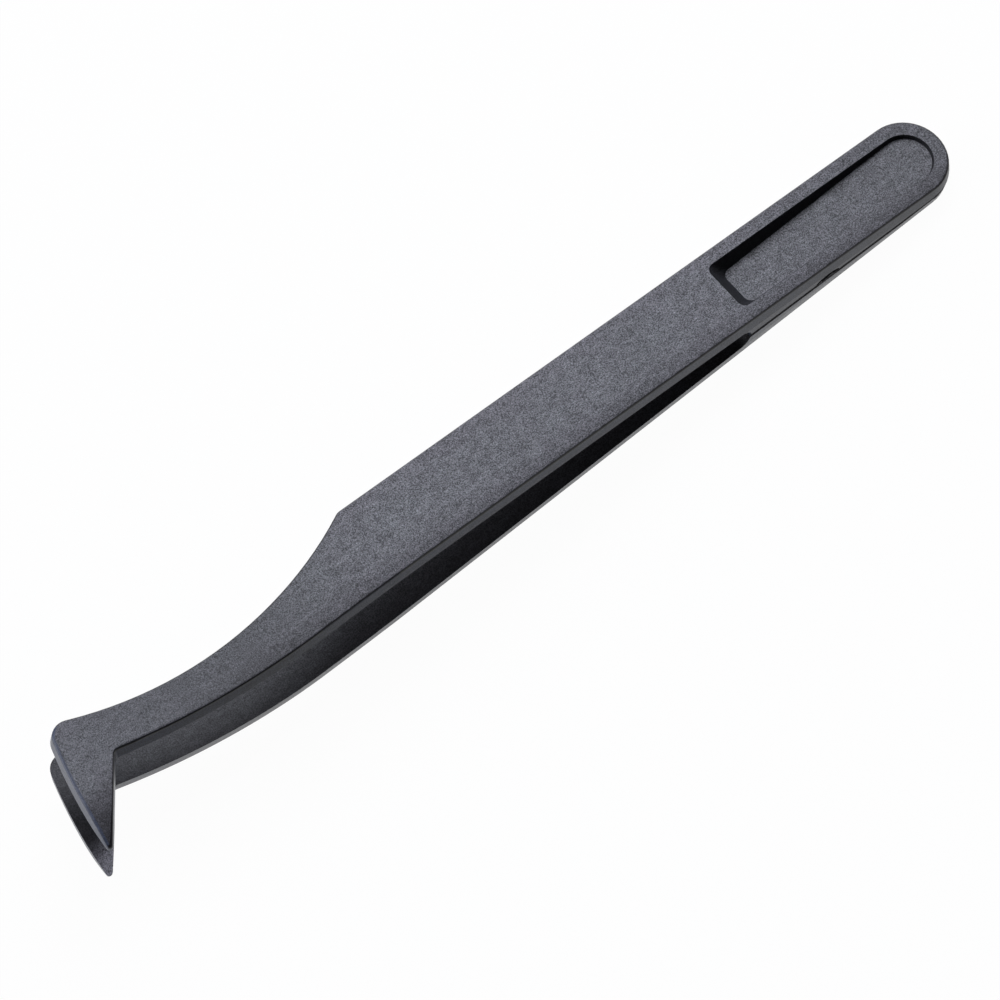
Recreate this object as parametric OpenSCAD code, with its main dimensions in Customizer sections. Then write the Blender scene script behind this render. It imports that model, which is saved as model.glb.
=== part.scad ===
// Anti-static plastic tweezers, moulded in one piece from carbon-filled plastic.
// Two flat arms spring apart from a closed tail, and their sharp tips turn sideways.
// The tweezers lie on the flat outer face of the lower arm. +X points from the tail
// to the tips, the tips turn towards +Y, and the origin is under the middle of the whole.

/* [Handle] */
// Width of the handle at its round tail end
tail_w = 9.2; // [8:0.1:10.4]
// Width of the handle at the shoulder, where the neck begins
shoulder_w = 9.4; // [8.6:0.1:10.6]
// Distance from the tail end to the shoulder
shoulder_x = 79.4; // [72:0.2:84]
// Rounding of the shoulder's corner, seen from above
shoulder_r = 1.4; // [0.5:0.1:3]

/* [Neck] */
// Angle at which the far edge leaves the shoulder
neck_in_a = 25.1; // [22:0.1:27]
// Distance from the shoulder to where the two straight runs of the far edge would cross
neck_l = 18.2; // [16:0.1:20]
// Angle at which the far edge flares out again towards the elbow
neck_out_a = 24.7; // [21:0.1:27]
// Distance from that crossing to the elbow's outer corner
elbow_l = 20; // [18:0.1:22]
// How much further from the tail the near edge's two straight runs would cross
near_lag = 3.9; // [2:0.1:6]

/* [Tip] */
// Rounding of the elbow's outer corner
elbow_r = 1.8; // [0.8:0.1:2.6]
// Distance back from the elbow's outer corner to the crook, the bend's inside corner
crook_back = 3.5; // [2.6:0.1:4.4]
// Distance of the crook from the centre line, towards the tip's side
crook_y = 1.3; // [0.6:0.1:2]
// Rounding of the crook
crook_r = 0.6; // [0.4:0.1:1.2]
// Distance of the point beyond the elbow's outer corner, before the point is rounded
tip_out = 3.6; // [2.4:0.1:5.4]
// Distance of the point from the centre line
tip_y = 9.7; // [8.4:0.1:11.4]
// Rounding of the point
point_r = 0.3; // [0.26:0.01:0.4]
// How far the tip's outside edge bows out from a straight line
tip_bow = 0.34; // [0.1:0.02:0.5]
// Thickness of each arm at its point
point_t = 0.6; // [0.45:0.05:1.2]
// Length over which each outer face curves down to the point
taper_l = 5; // [3:0.5:7]

/* [Thickness] */
// Thickness of the closed tail at its very end
tail_t = 2.72; // [2.4:0.02:3.4]
// Angle between the outer faces of the two open arms
spread_a = 6.73; // [5.8:0.01:7.6]
// Thickness of each arm
arm_t = 1.7; // [1.4:0.05:2]
// Distance from the tail end to the round end of the slot between the arms
slot_x = 30.4; // [29:0.1:42]
// Distance back from the shoulder to where the arms start to curve together
bend_back = 5.4; // [3:0.1:10]
// Radius of that curve
bend_r = 200; // [160:1:240]
// Angle through which each arm curves
bend_a = 5.7; // [4:0.1:6.6]

/* [Moulding] */
// Draft of the side walls, which are widest at the parting line
draft_a = 6; // [3:0.1:7]
// Rounding of the edge between each outer face and its side walls
edge_r = 0.25; // [0.12:0.01:0.25]
// Width of the groove along the parting line of the closed tail
seam_w = 0.2; // [0.08:0.02:0.24]
// Depth of that groove
seam_d = 0.1; // [0.02:0.01:0.14]
// Distance from the tail end to the middle of the scar where the moulding was cut off its gate
gate_x = 19.7; // [12:0.1:24]
// Length of the gate scar
gate_l = 3.3; // [2:0.1:4]
// Height of the gate scar
gate_h = 1.3; // [0.8:0.1:1.8]
// Depth of the gate scar
gate_d = 0.3; // [0.15:0.05:0.5]
// Height of the scar's middle above the parting line
gate_z = 0.15; // [-0.2:0.05:0.3]

/* [Tail recess] */
// Width of the rim round the recess in each outer face
rim_w = 1.58; // [1.2:0.02:2]
// Distance from the tail end to the recess's square end, along the outer face
recess_x = 30.3; // [24:0.1:34]
// Thickness of the web left between the two recesses
web_t = 1.9; // [1.4:0.1:2.2]
// Slope of the recess's long walls and round end
recess_a = 20; // [8:1:24]
// Slope of the recess's square end
recess_end_a = 40; // [20:1:46]
// Rounding of the recess's two square corners
recess_r = 0.9; // [0.4:0.1:1.4]

/* [Hidden] */

plastic = "#3d3f44";
arc_n = 12;                 // steps round a quarter of the tail end
edge_n = 3;                 // steps round the outer faces' edges
neck_n = 24;                // steps along the neck's far edge
corner_n = 8;               // steps round a small corner
hair = 0.03;                // height of the thin discs that a hull joins
land = 0.1;                 // straight run left between one rounding and the next
margin = 3;                 // how far cutters run past the faces they cut

// Plan: the sharp corners of the outline, before they are rounded

neck_x = shoulder_x + neck_l;
elbow_x = neck_x + elbow_l;
tip_x = elbow_x + tip_out;
bend_x = shoulder_x - bend_back;
half_a = spread_a / 2;
tail_c = [tail_w / 2, 0];
far_0 = [tail_w / 2, -tail_w / 2];
near_0 = [tail_w / 2, tail_w / 2];
flare = (shoulder_w - tail_w) / 2 / (shoulder_x - tail_w / 2);
shoulder = [shoulder_x, -shoulder_w / 2];
neck = shoulder + (neck_x - shoulder_x) * [1, tan(neck_in_a)];
elbow = neck + (elbow_x - neck_x) * [1, -tan(neck_out_a)];
near_bend = near_0 + (neck_x + near_lag - near_0.x) * [1, flare];
crook = [elbow_x - crook_back, crook_y];
point = [tip_x, tip_y];
tip_side = (elbow + point) / 2 - 2 * tip_bow * left(unit(point - elbow));

// Each long curve is the largest arc that its two straight runs leave room for
neck_r = (norm(neck - shoulder) - run_in(far_0, shoulder, neck, shoulder_r) - land)
    / tan(abs(turn(shoulder, neck, elbow)) / 2);
near_r = (norm(crook - near_bend) - run_in(near_bend, crook, point, crook_r) - land)
    / tan(abs(turn(near_0, near_bend, crook)) / 2);
side_r = (norm(tip_side - elbow) - land
    - max(run_in(neck, elbow, tip_side, elbow_r), run_in(tip_side, point, crook, point_r)))
    / tan(abs(turn(elbow, tip_side, point)) / 2);

function unit(v) = v / norm(v);
function left(v) = [-v.y, v.x];
function spin(v, a) = [v.x * cos(a) - v.y * sin(a), v.x * sin(a) + v.y * cos(a)];

// Angle that a path turns through at corner b, anticlockwise above zero
function turn(a, b, c) =
    let (d = unit(b - a), e = unit(c - b))
    atan2(d.x * e.y - d.y * e.x, d * e);

// Length that a rounding of radius r takes from each run beside corner b
function run_in(a, b, c, r) = r * tan(abs(turn(a, b, c)) / 2);

// Stations [point, direction of travel] round corner b
function round_corner(a, b, c, r, n) =
    let (t = turn(a, b, c), d = unit(b - a), s = sign(t),
         centre = b - d * run_in(a, b, c, r) + left(d) * r * s)
    [for (i = [0:n]) let (dir = spin(d, t * i / n)) [centre - left(dir) * r * s, dir]];

// Edge stations [point, outward normal] from stations of travel; side is -1 for the
// far edge, whose outside is on the right, and 1 for the near edge
function edge(stations, side) = [for (s = stations) [s[0], side * left(s[1])]];

function tail_arc(side) =
    [for (i = [1:arc_n]) let (n = [-cos(90 * i / arc_n), side * sin(90 * i / arc_n)])
        [tail_c + n * tail_w / 2, n]];

// The near edge at distance x, on its straight run or on its long curve
near_run = run_in(near_0, near_bend, crook, near_r);
near_start = near_bend.x - near_run * cos(atan(flare));
near_end = near_bend.x + near_run * unit(crook - near_bend).x;
near_c = near_0 + (near_start - near_0.x) * [1, flare] - near_r * left(unit([1, flare]));
function near_at(x) =
    x <= near_start
        ? [near_0 + (x - near_0.x) * [1, flare], left(unit([1, flare]))]
        : let (y = near_c.y + sqrt(near_r ^ 2 - (x - near_c.x) ^ 2))
            [[x, y], unit([x, y] - near_c)];

far_neck = concat(
    edge(round_corner(far_0, shoulder, neck, shoulder_r, corner_n), -1),
    edge(round_corner(shoulder, neck, elbow, neck_r, neck_n), -1));
far_bend = [far_0 + (bend_x - far_0.x) * [1, -flare], -left(unit([1, -flare]))];
far_end = far_neck[len(far_neck) - 1][0].x;

// The near edge's partner of a far station, spread so that both long curves end together
function near_of(s) = near_at(bend_x + (s[0].x - bend_x) * (near_end - bend_x) / (far_end - bend_x));
tip_corner = edge(round_corner(tip_side, point, crook, point_r, corner_n), -1);
crook_edge = edge(round_corner(near_bend, crook, point, crook_r, corner_n), 1);
tip_last = corner_n / 2;

far_edge = concat(
    tail_arc(-1), [far_bend], far_neck,
    edge(round_corner(neck, elbow, tip_side, elbow_r, corner_n), -1),
    edge(round_corner(elbow, tip_side, point, side_r, corner_n), -1),
    [for (i = [0:tip_last - 1]) tip_corner[i]]);

near_edge = concat(
    tail_arc(1), [near_at(bend_x)], [for (s = far_neck) near_of(s)],
    crook_edge,
    [for (i = [0:corner_n]) let (f = (i + 1) / (corner_n + 2))
        [crook_edge[corner_n][0] * (1 - f) + tip_corner[corner_n][0] * f, crook_edge[corner_n][1]]],
    [for (i = [0:tip_last - 1]) tip_corner[corner_n - i]]);

tail_end = [[0, 0], [-1, 0]];
tip_end = tip_corner[tip_last];
half_n = len(far_edge) + 1;
outline = concat([tail_end], far_edge, [tip_end],
    [for (i = [len(near_edge) - 1:-1:0]) near_edge[i]]);
outline_n = len(outline);

// Side view: half the thickness between the outer faces, measured from the parting plane

bend_z = tail_t / 2 + bend_x * tan(half_a);
bend_c = [bend_x + bend_r * sin(half_a), bend_z - bend_r * cos(half_a)];
bend_end = bend_c.x - bend_r * sin(half_a - bend_a);
taper_y = tip_end[0].y - taper_l;
taper_drop = arm_t - point_t;
taper_r = (taper_l ^ 2 + taper_drop ^ 2) / 2 / taper_drop;

function half_t(x) =
    x <= bend_x ? tail_t / 2 + x * tan(half_a)
    : x <= bend_end ? bend_c.y + sqrt(bend_r ^ 2 - (x - bend_c.x) ^ 2)
    : bend_c.y + bend_r * cos(half_a - bend_a) + (x - bend_end) * tan(half_a - bend_a);

// How far the tip's outer face has curved down at distance y from the centre line
function tip_drop(y) =
    y <= taper_y ? 0 : taper_r - sqrt(taper_r ^ 2 - min(y - taper_y, taper_r) ^ 2);

// A station's point moved out by o and down by depth d from the outer face
function sunk(s, d, o) =
    let (p = s[0] + s[1] * o)
    [p.x, p.y, half_t(p.x) - tip_drop(p.y) - d];

// A station's point at height z, moved out by the draft of the wall above it
function at_seam(s, z, in) =
    let (h = s[0].x < bend_x ? half_t(s[0].x) : arm_t, p = s[0] + s[1] * (h * tan(draft_a) - in))
    [p.x, p.y, z];

// Rings of the upper half from the outer face down to the parting plane
function wall_depth(s) = min(1.2 * arm_t, 0.8 * half_t(s[0].x));
rings_up = concat(
    [for (i = [0:edge_n]) let (a = 90 * i / edge_n, d = edge_r * (1 - cos(a)))
        [for (s = outline) sunk(s, d, d * tan(draft_a) - edge_r * (1 - sin(a)))]],
    [[for (s = outline) sunk(s, wall_depth(s), wall_depth(s) * tan(draft_a))]],
    [[for (s = outline) at_seam(s, seam_w / 2, 0)]]);
rings_mid = [[for (s = outline) at_seam(s, 0, seam_d)]];
rings_down = [for (k = [len(rings_up) - 1:-1:0]) [for (p = rings_up[k]) [p.x, p.y, -p.z]]];
rings = concat(rings_up, rings_mid, rings_down);

// Corner number i of ring k
function at(k, i) = k * outline_n + (i + outline_n) % outline_n;

// The face between ribs i and i + 1, split in two
function cap(k, i) = [
    [at(k, -i), at(k, -i - 1), at(k, i + 1)],
    [at(k, -i), at(k, i + 1), at(k, i)]];
function flipped(faces) = [for (f = faces) [f[2], f[1], f[0]]];

// The whole moulding before the slot and recesses are taken out
module blank() {
    last = len(rings) - 1;
    sides = [for (k = [0:last - 1], i = [0:outline_n - 1]) each [
        [at(k, i), at(k, i + 1), at(k + 1, i + 1)],
        [at(k, i), at(k + 1, i + 1), at(k + 1, i)]]];
    top = [for (i = [0:half_n - 1]) each cap(0, i)];
    bottom = [for (i = [0:half_n - 1]) each flipped(cap(last, i))];
    ends_cut = [for (f = concat(top, bottom)) if (f[0] != f[1] && f[1] != f[2] && f[2] != f[0]) f];
    polyhedron(points = [for (r = rings) each r], faces = concat(sides, ends_cut), convexity = 8);
}

// The wedge of space between the arms, with its round end
module slot() {
    inner_0 = half_t(slot_x) - arm_t;
    end_r = inner_0 * cos(half_a) / (1 - sin(half_a));
    end_x = slot_x + end_r;
    bend_n = 12;
    xs = concat([end_x - end_r * sin(half_a)],
        [for (i = [0:bend_n]) bend_x + (bend_end - bend_x) * i / bend_n], [tip_x + margin]);
    above = [for (x = xs) [x, half_t(x) - arm_t]];
    below = [for (i = [len(xs) - 1:-1:0]) [above[i].x, -above[i].y]];
    wide = 2 * (shoulder_w + tip_y);
    rotate([90, 0, 0])
        linear_extrude(height = wide, center = true)
        polygon(concat(above, below));
    translate([end_x, 0, 0])
        rotate([90, 0, 0])
        cylinder(h = wide, r = end_r, center = true, $fn = 64);
}

// Discs at the recess's round end and two square corners, drawn in by the given amounts
module recess_discs(side_in, end_in, corner_in, h) {
    r = tail_w / 2 - rim_w;
    end_y = r + flare * (recess_x - tail_w / 2);
    corner_r = max(recess_r, hair);
    translate([tail_w / 2, 0, 0]) cylinder(h = h, r = r - side_in, $fn = 48);
    for (side = [-1, 1])
        translate([recess_x - end_in - corner_r, side * (end_y - corner_in - corner_r), 0])
            cylinder(h = h, r = corner_r, $fn = 32);
}

// The pocket in one outer face: a level floor and walls that slope up to its mouth
module recess() {
    depth_0 = half_t(rim_w) - web_t / 2;
    depth_1 = half_t(recess_x) - web_t / 2;
    hull() {
        translate([0, 0, tail_t / 2 + hair])
            rotate([0, -half_a, 0])
            recess_discs(0, 0, 0, margin);
        translate([0, 0, web_t / 2])
            recess_discs(depth_0 * tan(recess_a), depth_1 * tan(recess_end_a), depth_1 * tan(recess_a), hair);
    }
}

// The shallow oval dent left where the gate was cut off, across the parting line
module gate_scar() {
    wall_y = tail_w / 2 + flare * (gate_x - tail_w / 2) + half_t(gate_x) * tan(draft_a);
    translate([gate_x, wall_y, gate_z])
        scale([gate_l / 2, gate_d, gate_h / 2])
        sphere(r = 1, $fn = 48);
}

// Box round the tweezers, used to put the origin under their middle
arm_out = arm_t * tan(draft_a);
x_lo = -tail_t / 2 * tan(draft_a) * cos(half_a);
x_hi = (max([for (s = outline) s[0].x]) + arm_out) * cos(half_a)
    + (half_t(tip_x) - arm_t) * sin(half_a);
y_lo = min([for (s = outline) s[0].y]) - arm_out;
y_hi = max([for (s = outline) s[0].y]) + point_t * tan(draft_a);

module tweezers() {
    color(plastic)
        translate([-(x_lo + x_hi) / 2, -(y_lo + y_hi) / 2, tail_t / 2 * cos(half_a)])
        rotate([0, -half_a, 0])
        difference() {
            blank();
            slot();
            recess();
            mirror([0, 0, 1]) recess();
            gate_scar();
        }
}

tweezers();
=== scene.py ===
"""Looks for the one-piece anti-static tweezers: moulded body, finishes, studio and camera."""

import math

import bmesh
import bpy
from mathutils import Matrix, Vector


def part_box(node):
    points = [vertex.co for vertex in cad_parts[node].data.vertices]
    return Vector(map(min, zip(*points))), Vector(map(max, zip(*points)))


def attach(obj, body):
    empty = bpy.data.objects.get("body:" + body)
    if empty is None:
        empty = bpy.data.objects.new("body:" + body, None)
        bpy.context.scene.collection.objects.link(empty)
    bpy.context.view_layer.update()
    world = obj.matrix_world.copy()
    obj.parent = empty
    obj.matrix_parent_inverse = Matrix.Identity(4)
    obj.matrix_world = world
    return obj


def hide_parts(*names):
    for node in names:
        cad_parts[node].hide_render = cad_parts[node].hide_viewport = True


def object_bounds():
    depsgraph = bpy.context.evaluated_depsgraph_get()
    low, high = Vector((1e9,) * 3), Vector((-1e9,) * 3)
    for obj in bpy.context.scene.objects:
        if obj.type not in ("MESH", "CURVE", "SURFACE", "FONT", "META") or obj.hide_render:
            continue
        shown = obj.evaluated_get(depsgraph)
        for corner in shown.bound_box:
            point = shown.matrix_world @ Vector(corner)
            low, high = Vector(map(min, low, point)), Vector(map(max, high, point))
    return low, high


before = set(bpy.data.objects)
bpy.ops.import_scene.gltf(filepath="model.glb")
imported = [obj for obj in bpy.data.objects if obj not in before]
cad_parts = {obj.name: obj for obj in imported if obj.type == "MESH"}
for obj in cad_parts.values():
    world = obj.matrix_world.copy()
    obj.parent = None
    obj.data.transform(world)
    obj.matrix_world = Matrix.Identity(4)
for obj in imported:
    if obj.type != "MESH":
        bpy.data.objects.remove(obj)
cad_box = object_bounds()

MM = 0.001

# Camera: the photograph is taken from high up on the near side, through a long lens
VIEW_AZIMUTH = math.radians(139.577)
VIEW_ELEVATION = math.radians(66.0)
VIEW_DISTANCE = 1000 * MM
VIEW_TARGET = Vector((1.31, -1.0, 0.0)) * MM
VIEW_WIDTH = 104.49 * MM            # width seen at the target's distance
SENSOR = 36.0

# Sizes that the moulding's source gives. Lengths along it start at the tail end
SPREAD = math.radians(6.73)         # angle between the two outer faces
TAIL_THICK = 2.72 * MM
RECESS_ALONG = 30.3 * MM            # the recess's square end
SLOT_ALONG = 30.4 * MM              # where the gap between the arms begins
CROOK_ALONG = 112 * MM              # where the near side turns into the tips
GATE_ALONG = 19.7 * MM              # middle of the gate scar
GATE_LONG = 3.3 * MM
GATE_TALL = 1.3 * MM
GATE_LIFT = 0.15 * MM               # height of the scar's middle over the parting plane
MIDDLE_LINE = -2.1 * MM             # the handle's centre line
HALF_WIDTH = 4.7 * MM

# The dull band along the parting line, painted dark for the shadow of the groove there, as heights
# over the parting plane
SEAM_TOP = 0.12 * MM
SEAM_BOTTOM = -0.54 * MM

# How a surface is told from the Z of its normal in the mould's frame
FACE_STEEP = 0.93                   # above this it is an outer or an inner face
EDGE_STEEP = 0.3                    # above this it is a rounded edge, and below it a wall
TOWARDS_NEAR = 0.3                  # a normal's Y above this looks to the near side
SCAR_FACE = 0.6 * MM * MM           # the scar's facets are smaller, the walls' are larger
RECESS_SLACK = 1 * MM               # the recess's walls end within this past its square end
TIP_WALL_LONG = 3 * MM              # the near walls' finish ends this far past the crook

# Rings of the source's edge rounding, from the outer face down to the wall: what the least and
# the greatest steepness around a ring's corners are above, and how far the ring moves in
ROUNDING_RINGS = (
    (0.93, 0.985, 0.34 * MM),
    (0.60, 0.93, 0.17 * MM),
    (0.25, 0.60, 0.06 * MM),
)
ROUNDED = (0.2, 0.985)              # steepness of the faces that say which way is out
TIPS_OUT = (0.2, 0.6)               # a ring's outward X where its move starts and is full
TIPS_ALONG = (107 * MM, 111 * MM)   # the same for its place along the mould
TIPS_ASIDE = (6.3 * MM, 4.5 * MM)   # and across it

JOIN = 0.002 * MM                   # corners nearer than this are one
FLAT_WITHIN = math.radians(0.6)
SHARP_OVER = math.radians(33)
EASING = 0.1 * MM                   # width of the bevel along sharp edges
SEAM_GROOVE = 0.2 * MM              # edges this near to the parting plane stay sharp

MIDDLE_COLOUR = (0.086, 0.090, 0.099, 1)
SIDE_COLOUR = (0.082, 0.080, 0.092, 1)
# the walls' cool cast is painted: a bluer colour against the white table that they mirror
WALL_COLOUR = (0.066, 0.078, 0.118, 1)    # cooler, because the walls mirror the white table

# Painted shade of the colour along the tool, from the tail end at 0 to the tips at 1: darker at the
# tail end, where the key lamp's sheen falls off, and at the neck
PAINTED_SHADE_ALONG = ((0.0, 0.65), (0.25, 1.0), (0.66, 1.0), (0.80, 0.6), (0.90, 0.78), (1.0, 1.1))

TABLE_SIZE = 1.5
TABLE_COLOUR = (0.86, 0.86, 0.86, 1)
TABLE_WHITE = 0.97                  # share of plain white in what the camera sees
LAMP_COLOUR = (0.98, 1.0, 1.1)
WORLD_LIGHT = 0.03
LAMPS = (                           # name, place, size, watts
    ("key", (-0.26, -0.31, 0.52), (0.36, 0.36), 3.05),
    ("left", (0.82, -0.68, 0.38), (0.6, 0.5), 4.5),
    ("back_left", (0.16, -0.66, 0.82), (0.6, 0.6), 2.5),
)


def place_camera():
    """The camera as it stood for the photograph."""
    data = bpy.data.cameras.new("photo_camera")
    data.sensor_width = SENSOR
    data.lens = SENSOR * VIEW_DISTANCE / VIEW_WIDTH
    data.clip_start = 0.01
    data.clip_end = 10
    camera = bpy.data.objects.new("photo_camera", data)
    bpy.context.scene.collection.objects.link(camera)
    ground = Vector((math.sin(VIEW_AZIMUTH), -math.cos(VIEW_AZIMUTH), 0))
    back = ground * math.cos(VIEW_ELEVATION) + Vector((0, 0, math.sin(VIEW_ELEVATION)))
    camera.location = VIEW_TARGET + back * VIEW_DISTANCE
    camera.rotation_euler = back.to_track_quat("Z", "Y").to_euler()
    bpy.context.scene.camera = camera


def link(name, bm):
    """A finished bmesh as an object at the origin."""
    mesh = bpy.data.meshes.new(name)
    bm.to_mesh(mesh)
    bm.free()
    piece = bpy.data.objects.new(name, mesh)
    bpy.context.scene.collection.objects.link(piece)
    return piece


# Places on the moulding are found in the mould's own frame: X along the parting plane
# from the tail end, Z square to that plane

MOULD = Matrix.Rotation(SPREAD / 2, 3, "Y")
FROM_MOULD = MOULD.inverted()
TAIL_END = Vector((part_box("tweezers")[0][0], 0, TAIL_THICK / 2 * math.cos(SPREAD / 2)))


def in_mould(place):
    """A place in the mould's frame."""
    return MOULD @ (place - TAIL_END)


(
    FACE_FINISH, EDGE_FINISH, WALL_FINISH, NEAR_FINISH, SEAM_FINISH, INNER_FINISH,
    RECESS_FINISH, CUT_FINISH,
) = range(8)


def in_recess(place, normal):
    """Whether a face is a wall of a recess: it is by the tail and looks to the recess's middle."""
    spine_x = min(max(place.x, HALF_WIDTH), RECESS_ALONG - HALF_WIDTH)
    aside = Vector((place.x - spine_x, place.y))
    return place.x < RECESS_ALONG + RECESS_SLACK and aside.dot(normal.to_2d()) < 0


def in_scar(place, normal, area):
    """Whether a face is a facet of the gate scar's shallow oval."""
    from_middle = Vector((
        (place.x - GATE_ALONG) / (GATE_LONG / 2), (place.z - GATE_LIFT) / (GATE_TALL / 2)
    ))
    return from_middle.length < 1 and normal.y > TOWARDS_NEAR and area < SCAR_FACE


def finish_of(face):
    """Which finish a face of the moulding has, from its place and the way it faces."""
    place = in_mould(face.calc_center_median())
    normal = MOULD @ face.normal
    place.y -= MIDDLE_LINE
    outward = normal.z * place.z > 0
    if abs(normal.z) > FACE_STEEP:
        return FACE_FINISH if outward else INNER_FINISH
    if in_recess(place, normal):
        return RECESS_FINISH
    if abs(normal.z) > EDGE_STEEP:
        if not outward:
            return INNER_FINISH
        # rounded edges on the tips' outer side get the wall finish, without the edge finish's
        # painted shade
        tip_end = normal.x > 0.15 and normal.y < TOWARDS_NEAR and place.x > CROOK_ALONG
        return WALL_FINISH if tip_end else EDGE_FINISH
    if in_scar(place, normal, face.calc_area()):
        return CUT_FINISH
    if place.x < SLOT_ALONG and SEAM_BOTTOM < place.z < SEAM_TOP:
        return SEAM_FINISH
    near = normal.y > TOWARDS_NEAR and place.x < CROOK_ALONG + TIP_WALL_LONG
    return NEAR_FINISH if near and place.z > 0 else WALL_FINISH


def fade(value, start, end):
    """0 at start, 1 at end, straight between."""
    return min(max((value - start) / (end - start), 0.0), 1.0)


def ring_move(steepness):
    """How far a corner of the edge rounding moves in, from the steepness of its faces."""
    for least, greatest, move in ROUNDING_RINGS:
        if min(steepness) > least and max(steepness) > greatest:
            return move
    return 0.0


def widen_tip_rounding(bm):
    """Draw the rounding on the outer side of the tips further in over the arms' outer faces."""
    moves = {}
    for vert in bm.verts:
        normals = [MOULD @ f.normal for f in vert.link_faces]
        move = ring_move([abs(n.z) for n in normals])
        if not move:
            continue
        rounded = [n for n in normals if ROUNDED[0] < abs(n.z) < ROUNDED[1]]
        outward = sum((Vector((n.x, n.y, 0)).normalized() for n in rounded), Vector())
        outward = outward.normalized()
        place = in_mould(vert.co)
        share = fade(outward.x, *TIPS_OUT)
        share *= fade(place.x, *TIPS_ALONG) * fade(place.y, *TIPS_ASIDE)
        if share > 0:
            moves[vert] = FROM_MOULD @ (outward * -move * share)
    for vert, move in moves.items():
        vert.co += move


def cut_tail_walls(bm, height):
    """Split the tail's side walls along the mould, this far above the parting plane."""
    walls = [
        f for f in bm.faces
        if in_mould(f.calc_center_median()).x < SLOT_ALONG and abs(f.normal.z) < EDGE_STEEP
    ]
    edges = {e for f in walls for e in f.edges}
    verts = {v for f in walls for v in f.verts}
    up = FROM_MOULD @ Vector((0, 0, 1))
    bmesh.ops.bisect_plane(
        bm, geom=walls + list(edges) + list(verts), dist=JOIN,
        plane_co=TAIL_END + up * height, plane_no=up,
    )


def rank_faces(bm):
    """Put the faces in the order of their corners, because the cuts leave them in an order that
    changes from run to run."""
    bm.verts.index_update()
    count = len(bm.verts)

    def rank(face):
        low, middle, high = sorted(v.index for v in face.verts)[:3]
        return (low * count + middle) * count + high

    bm.faces.sort(key=rank)


def off_seam(edge):
    """Whether an edge's middle is away from the groove along the parting line."""
    middle = (edge.verts[0].co + edge.verts[1].co) / 2
    return abs(in_mould(middle).z) > SEAM_GROOVE


def moulding():
    """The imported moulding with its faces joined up, its sharp edges eased and its finishes set."""
    bm = bmesh.new()
    bm.from_mesh(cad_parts["tweezers"].data)
    bmesh.ops.remove_doubles(bm, verts=bm.verts, dist=JOIN)
    bmesh.ops.dissolve_limit(
        bm, angle_limit=FLAT_WITHIN, verts=bm.verts, edges=bm.edges, delimit={"NORMAL"}
    )
    bmesh.ops.dissolve_degenerate(bm, dist=JOIN, edges=bm.edges)
    widen_tip_rounding(bm)
    bm.normal_update()
    sharp = [e for e in bm.edges if e.is_manifold and e.calc_face_angle() > SHARP_OVER]
    bmesh.ops.bevel(
        bm, geom=[e for e in sharp if off_seam(e)], offset=EASING, offset_type="OFFSET",
        segments=2, profile=0.5, affect="EDGES", material=-1, clamp_overlap=True,
        loop_slide=True,
    )
    for height in (SEAM_BOTTOM, SEAM_TOP):
        cut_tail_walls(bm, height)
    rank_faces(bm)
    for face in bm.faces:
        face.smooth = True
        face.material_index = finish_of(face)
    body = link("moulded_body", bm)
    weighted = body.modifiers.new("weighted", "WEIGHTED_NORMAL")
    weighted.weight = 80
    weighted.keep_sharp = False
    return body


def new_group(name, inputs, outputs):
    """A shader node group with named sockets; gives its tree, input node and output node."""
    tree = bpy.data.node_groups.new(name, "ShaderNodeTree")
    for label, kind, value in inputs:
        socket = tree.interface.new_socket(name=label, in_out="INPUT", socket_type=kind)
        if value is not None:
            socket.default_value = value
    for label, kind in outputs:
        tree.interface.new_socket(name=label, in_out="OUTPUT", socket_type=kind)
    return tree, tree.nodes.new("NodeGroupInput"), tree.nodes.new("NodeGroupOutput")


def math_node(tree, operation, a, b=0.0, c=0.0):
    """A Math node fed by numbers or sockets; gives its output socket."""
    node = tree.nodes.new("ShaderNodeMath")
    node.operation = operation
    for socket, value in zip(node.inputs, (a, b, c)):
        if isinstance(value, (int, float)):
            socket.default_value = value
        else:
            tree.links.new(value, socket)
    return node.outputs[0]


def swing(tree, value, amount):
    """A value between 0 and 1 spread evenly around 0, over this amount in all."""
    return math_node(tree, "MULTIPLY_ADD", value, amount, -amount / 2)


def axes(tree, where):
    """The X, Y and Z of a place, by name."""
    node = tree.nodes.new("ShaderNodeSeparateXYZ")
    tree.links.new(where, node.inputs["Vector"])
    return node.outputs


def noise(tree, where, scale, detail, rough):
    """A noise value whose scale comes from a socket."""
    node = tree.nodes.new("ShaderNodeTexNoise")
    node.inputs["Detail"].default_value = detail
    node.inputs["Roughness"].default_value = rough
    tree.links.new(where, node.inputs["Vector"])
    tree.links.new(scale, node.inputs["Scale"])
    return node.outputs["Fac"]


def ramp(tree, value, low, high):
    """0 below low, 1 above high, and smooth between."""
    node = tree.nodes.new("ShaderNodeMapRange")
    node.interpolation_type = "SMOOTHSTEP"
    node.inputs["From Min"].default_value = low
    node.inputs["From Max"].default_value = high
    tree.links.new(value, node.inputs["Value"])
    return node.outputs["Result"]


def mix_colours(tree, a, b, factor=1.0, blend="MULTIPLY"):
    """Two colours mixed, or one times the other where nothing else is said."""
    node = tree.nodes.new("ShaderNodeMix")
    node.data_type = "RGBA"
    node.blend_type = blend
    if isinstance(factor, float):
        node.inputs["Factor"].default_value = factor
    else:
        tree.links.new(factor, node.inputs["Factor"])
    tree.links.new(a, node.inputs["A"])
    tree.links.new(b, node.inputs["B"])
    return node.outputs["Result"]


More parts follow.
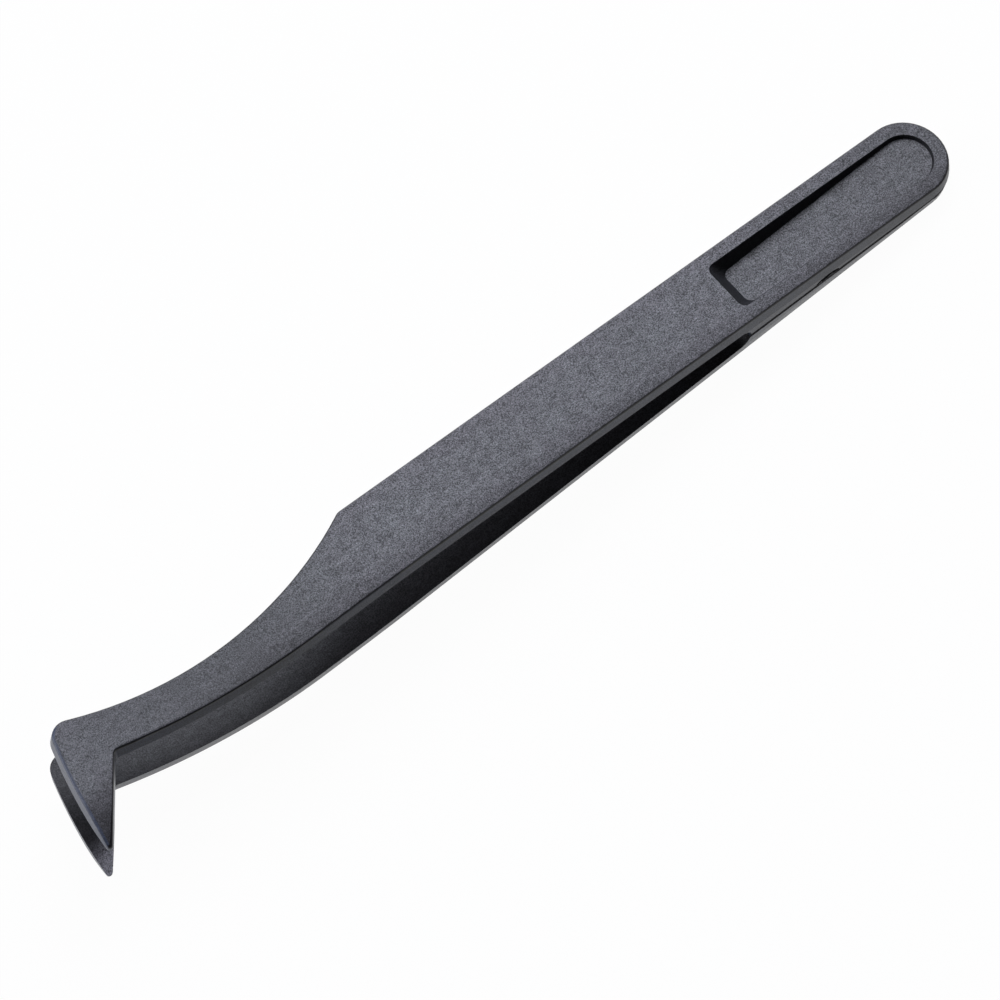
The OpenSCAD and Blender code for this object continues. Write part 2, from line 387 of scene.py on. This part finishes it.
def spark_grain():
    """Spark-eroded grain: fine pits, looser clusters of them, pale specks on their crests whose
    paleness is a painted glint, and all of it fainter towards the tips."""
    tree, given, result = new_group(
        "spark_grain",
        [
            ("Coordinates", "NodeSocketVector", None),
            ("Grain per metre", "NodeSocketFloat", 6000.0),
            ("Cluster per metre", "NodeSocketFloat", 1500.0),
            ("Contrast", "NodeSocketFloat", 1.0),
            ("Specks", "NodeSocketFloat", 1.0),
        ],
        [("Shade", "NodeSocketFloat"), ("Height", "NodeSocketFloat")],
    )
    pit_swing, cluster_swing, painted_glint_shade = 10.4, 2.3, 3.0
    calmer_by, calm_from, calm_full = 0.3, 15 * MM, 50 * MM
    darkest, speck_height = 0.15, 0.5

    where = given.outputs["Coordinates"]
    grain = given.outputs["Grain per metre"]
    drawn_out = tree.nodes.new("ShaderNodeMapping")
    drawn_out.inputs["Scale"].default_value = (0.5, 1.0, 1.0)
    tree.links.new(where, drawn_out.inputs["Vector"])
    pits = noise(tree, where, grain, 2.0, 0.75)
    clusters = noise(
        tree, drawn_out.outputs["Vector"], given.outputs["Cluster per metre"], 3.0, 0.7
    )
    specks = ramp(tree, noise(tree, where, math_node(tree, "MULTIPLY", grain, 1.3), 0.0, 0.5),
                  0.6, 0.8)
    specks = math_node(tree, "MULTIPLY", specks, ramp(tree, clusters, 0.4, 0.62))
    specks = math_node(tree, "MULTIPLY", specks, given.outputs["Specks"])

    shade = math_node(
        tree, "ADD", swing(tree, pits, pit_swing), swing(tree, clusters, cluster_swing)
    )
    # the specks' paleness is a painted glint on the crests
    shade = math_node(tree, "MULTIPLY_ADD", specks, painted_glint_shade, shade)
    calm = ramp(tree, axes(tree, where)["X"], calm_from, calm_full)
    calm = math_node(tree, "MULTIPLY_ADD", calm, -calmer_by, 1.0)
    shade = math_node(tree, "MULTIPLY", shade, calm)
    shade = math_node(tree, "MULTIPLY", shade, given.outputs["Contrast"])
    shade = math_node(tree, "MAXIMUM", math_node(tree, "ADD", shade, 1.0), darkest)
    tree.links.new(shade, result.inputs["Shade"])
    height = math_node(tree, "MULTIPLY_ADD", specks, speck_height, pits)
    tree.links.new(height, result.inputs["Height"])
    return tree


def painted_shade_along(tree, x):
    """The painted shade of the plastic's colour at a place along the tool."""
    share = tree.nodes.new("ShaderNodeMapRange")
    share.inputs["From Min"].default_value = cad_box[0][0]
    share.inputs["From Max"].default_value = cad_box[1][0]
    tree.links.new(x, share.inputs["Value"])
    node = tree.nodes.new("ShaderNodeValToRGB")
    stops = node.color_ramp.elements
    for place, _ in PAINTED_SHADE_ALONG[1:-1]:
        stops.new(place)
    for stop, (_, shade) in zip(stops, PAINTED_SHADE_ALONG):
        stop.color = (shade, shade, shade, 1)
    tree.links.new(share.outputs["Result"], node.inputs["Fac"])
    return node.outputs["Color"]


def flow_tint_and_painted_shade():
    """The plastic's colour: cooler along the handle's middle, warmer to its edges, with painted
    shade that makes it deeper at the tail and the neck."""
    tree, given, result = new_group(
        "flow_tint_and_painted_shade",
        [
            ("Coordinates", "NodeSocketVector", None),
            ("Middle", "NodeSocketColor", MIDDLE_COLOUR),
            ("Edge", "NodeSocketColor", SIDE_COLOUR),
            ("Patches per metre", "NodeSocketFloat", 200.0),
        ],
        [("Colour", "NodeSocketColor")],
    )
    side_power, patch_gain, patch_bias = 2.5, 3.0, -1.2

    where = given.outputs["Coordinates"]
    place = axes(tree, where)
    aside = math_node(tree, "ABSOLUTE", math_node(tree, "SUBTRACT", place["Y"], MIDDLE_LINE))
    aside = math_node(tree, "MULTIPLY", aside, 1 / HALF_WIDTH)
    aside = math_node(tree, "POWER", aside, side_power)
    patches = noise(tree, where, given.outputs["Patches per metre"], 8.0, 0.8)
    factor = math_node(tree, "MULTIPLY_ADD", patches, patch_gain, patch_bias)
    factor = math_node(tree, "ADD", factor, aside)
    factor = math_node(tree, "MINIMUM", math_node(tree, "MAXIMUM", factor, 0.0), 1.0)
    colour = mix_colours(tree, given.outputs["Middle"], given.outputs["Edge"], factor, "MIX")
    # painted shade along the tool
    colour = mix_colours(tree, colour, painted_shade_along(tree, place["X"]))
    tree.links.new(colour, result.inputs["Colour"])
    return tree


def fade_group(name, axis, start, end, output, at_start, at_end):
    """A group whose output goes from one value to another between two places on an axis.

    start and end are each an input's name and its place."""
    tree, given, result = new_group(
        name,
        [
            ("Coordinates", "NodeSocketVector", None),
            (start[0], "NodeSocketFloat", start[1]),
            (end[0], "NodeSocketFloat", end[1]),
        ],
        [(output, "NodeSocketFloat")],
    )
    node = tree.nodes.new("ShaderNodeMapRange")
    node.inputs["To Min"].default_value = at_start
    node.inputs["To Max"].default_value = at_end
    tree.links.new(axes(tree, given.outputs["Coordinates"])[axis], node.inputs["Value"])
    tree.links.new(given.outputs[start[0]], node.inputs["From Min"])
    tree.links.new(given.outputs[end[0]], node.inputs["From Max"])
    tree.links.new(node.outputs["Result"], result.inputs[output])
    return tree


GRAIN = spark_grain()
TINT = flow_tint_and_painted_shade()

# How far a place is towards the ends of the tips, for the painted shade and light there
PAINTED_TIP = fade_group("painted_tip_shading", "Y", ("Starts at", 1 * MM), ("Full at", 5 * MM), "Painted shading", 0.0, 1.0)

# How polished the near walls are: most at the tail, not at all at the crook
POLISH = fade_group(
    "mould_polish", "X", ("Polished to", -50 * MM), ("Dull from", 50 * MM), "Polish", 0.42, 0.0
)


def place_group(tree, group, where, **values):
    """A group in a material, with its inputs set by their names."""
    node = tree.nodes.new("ShaderNodeGroup")
    node.node_tree = group
    tree.links.new(where, node.inputs["Coordinates"])
    for label, value in values.items():
        node.inputs[label.replace("_", " ")].default_value = value
    return node


def finish(
    name, values, rough, rough_swing, bump, strength,
    darker=1.0, shine=0.5, painted_tip=None, colour=None,
):
    """A plastic finish: tinted base, one grain for shade and height, and uneven gloss.

    painted_tip gives where the painted shading towards the tips' ends starts and is full along Y,
    and
    the factor and roughness added there: the factor paints shade below 0 and light above 0.
    colour replaces both of the plastic's own colours."""
    material = bpy.data.materials.new(name)
    material.use_nodes = True
    tree = material.node_tree
    shader = tree.nodes["Principled BSDF"]
    shader.inputs["Specular IOR Level"].default_value = shine
    where = tree.nodes.new("ShaderNodeTexCoord").outputs["Object"]
    own = {"Middle": colour, "Edge": colour} if colour else {}
    tint = place_group(tree, TINT, where, **own).outputs["Colour"]
    grain = place_group(tree, GRAIN, where, **values).outputs
    shade = math_node(tree, "MULTIPLY", grain["Shade"], darker)
    gloss = math_node(tree, "MULTIPLY_ADD", grain["Shade"], -rough_swing, rough + rough_swing)
    if painted_tip:
        starts, full, painted_tip_shade, tip_rough = painted_tip
        painted_tip_mask = place_group(tree, PAINTED_TIP, where, Starts_at=starts, Full_at=full).outputs["Painted shading"]
        shading = math_node(tree, "MULTIPLY_ADD", painted_tip_mask, painted_tip_shade, 1.0)
        shade = math_node(tree, "MULTIPLY", shade, shading)
        gloss = math_node(tree, "MULTIPLY_ADD", painted_tip_mask, tip_rough, gloss)
    tree.links.new(mix_colours(tree, tint, shade), shader.inputs["Base Color"])
    tree.links.new(gloss, shader.inputs["Roughness"])
    relief = tree.nodes.new("ShaderNodeBump")
    relief.inputs["Strength"].default_value = strength
    relief.inputs["Distance"].default_value = bump
    tree.links.new(grain["Height"], relief.inputs["Height"])
    tree.links.new(relief.outputs["Normal"], shader.inputs["Normal"])
    return material


def polish(material, polished_to, dull_from, rough):
    """A clear sheen over a finish that fades out along the tool."""
    tree = material.node_tree
    shader = tree.nodes["Principled BSDF"]
    where = tree.nodes.new("ShaderNodeTexCoord").outputs["Object"]
    sheen = place_group(tree, POLISH, where, Polished_to=polished_to, Dull_from=dull_from)
    shader.inputs["Coat Roughness"].default_value = rough
    tree.links.new(sheen.outputs["Polish"], shader.inputs["Coat Weight"])


def grain_values(grain, cluster, contrast, specks):
    """The inputs of the spark grain for one kind of surface."""
    return {
        "Grain_per_metre": grain, "Cluster_per_metre": cluster,
        "Contrast": contrast, "Specks": specks,
    }


def finishes():
    """All finishes of the moulding, in the order of their numbers."""
    spark_values = grain_values(6800.0, 1500.0, 0.7, 0.8)
    calm_values = grain_values(7500.0, 1300.0, 0.35, 0.3)
    torn_values = grain_values(7000.0, 2500.0, 0.7, 0.4)
    # painted shade: towards the tips' ends the faces' colour falls to 0.4 of itself, and they get
    # rougher
    spark = finish(
        "spark_textured_plastic", spark_values,
        rough=0.5, rough_swing=0.10, bump=0.03 * MM, strength=0.9,
        painted_tip=(0.3 * MM, 4.5 * MM, -0.6, 0.2),
    )
    # painted shade along the rounded edges: their colour is a fifth of the faces'
    edge = finish(
        "rounded_edge_plastic", calm_values,
        rough=0.34, rough_swing=0.05, bump=0.01 * MM, strength=0.3, darker=0.2, shine=0.35,
    )
    wall = finish(
        "side_wall_plastic", calm_values,
        rough=0.34, rough_swing=0.1, bump=0.02 * MM, strength=0.7, darker=0.8,
        colour=WALL_COLOUR,
    )
    # painted shade on the near side: its walls' colour is 0.55 of the walls' colour, darker than the
    # other walls' 0.8
    near = finish(
        "near_wall_plastic", calm_values,
        rough=0.5, rough_swing=0.1, bump=0.02 * MM, strength=0.7, darker=0.55, shine=0.15,
        colour=WALL_COLOUR,
    )
    polish(near, polished_to=-50 * MM, dull_from=48 * MM, rough=0.3)
    # painted shadow of the parting line's groove: the band's colour is 0.15 of the faces', and it is
    # dull
    seam = finish(
        "parting_line_plastic", calm_values,
        rough=0.8, rough_swing=0.1, bump=0.02 * MM, strength=0.5, darker=0.15, shine=0.05,
    )
    # painted shade between the arms: the outer faces' grain at 0.3 of their shade; towards the lower
    # tip's end painted light makes it up to seven times lighter
    inner = finish(
        "inner_face_plastic", spark_values,
        rough=0.6, rough_swing=0.10, bump=0.02 * MM, strength=0.6, darker=0.3,
        painted_tip=(2.7 * MM, 5.2 * MM, 6.0, -0.15),
    )
    # painted shade in the recess: its walls' colour is 0.3 of the faces', with a calmer grain
    recess = finish(
        "recess_wall_plastic", calm_values,
        rough=0.5, rough_swing=0.05, bump=0.01 * MM, strength=0.5, darker=0.3, shine=0.15,
    )
    # painted shade in the gate scar's dent: its torn, dull surface is coloured nearly black
    cut = finish(
        "torn_gate_plastic", torn_values,
        rough=0.8, rough_swing=0.1, bump=0.05 * MM, strength=1.0, darker=0.12, shine=0.03,
    )
    return spark, edge, wall, near, seam, inner, recess, cut


def white_table():
    """Pale paper that the camera and reflections see as plain white, with a faint shadow."""
    paper = bpy.data.materials.new("white_table")
    paper.use_nodes = True
    tree = paper.node_tree
    shader = tree.nodes["Principled BSDF"]
    shader.inputs["Base Color"].default_value = TABLE_COLOUR
    shader.inputs["Roughness"].default_value = 0.9
    white = tree.nodes.new("ShaderNodeEmission")
    white.inputs["Color"].default_value = (1, 1, 1, 1)
    white.inputs["Strength"].default_value = 1.0
    path = tree.nodes.new("ShaderNodeLightPath").outputs
    seen = math_node(tree, "MAXIMUM", path["Is Camera Ray"], path["Is Glossy Ray"])
    seen = math_node(tree, "MULTIPLY", seen, TABLE_WHITE)
    blend = tree.nodes.new("ShaderNodeMixShader")
    tree.links.new(seen, blend.inputs["Fac"])
    tree.links.new(shader.outputs[0], blend.inputs[1])
    tree.links.new(white.outputs[0], blend.inputs[2])
    tree.links.new(blend.outputs[0], tree.nodes["Material Output"].inputs["Surface"])
    return paper


def softbox(name, place, size, watts):
    """A soft rectangular lamp that points at the origin."""
    data = bpy.data.lights.new(name, "AREA")
    data.shape = "RECTANGLE"
    data.size, data.size_y = size
    data.energy = watts
    data.color = LAMP_COLOUR
    lamp = bpy.data.objects.new(name, data)
    bpy.context.scene.collection.objects.link(lamp)
    lamp.location = place
    lamp.rotation_euler = Vector(place).to_track_quat("Z", "Y").to_euler()


def studio():
    """The table, the lamps and a dim even surrounding light."""
    bm = bmesh.new()
    bmesh.ops.create_grid(bm, x_segments=1, y_segments=1, size=TABLE_SIZE)
    floor = link("floor", bm)
    floor.data.materials.append(white_table())
    for lamp in LAMPS:
        softbox(*lamp)
    world = bpy.data.worlds.new("world")
    world.use_nodes = True
    background = world.node_tree.nodes["Background"]
    background.inputs["Color"].default_value = (1, 1, 1, 1)
    background.inputs["Strength"].default_value = WORLD_LIGHT
    bpy.context.scene.world = world


place_camera()
body = moulding()
for material in finishes():
    body.data.materials.append(material)
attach(body, "root")
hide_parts("tweezers")
studio()
bpy.context.scene.view_settings.view_transform = "Standard"
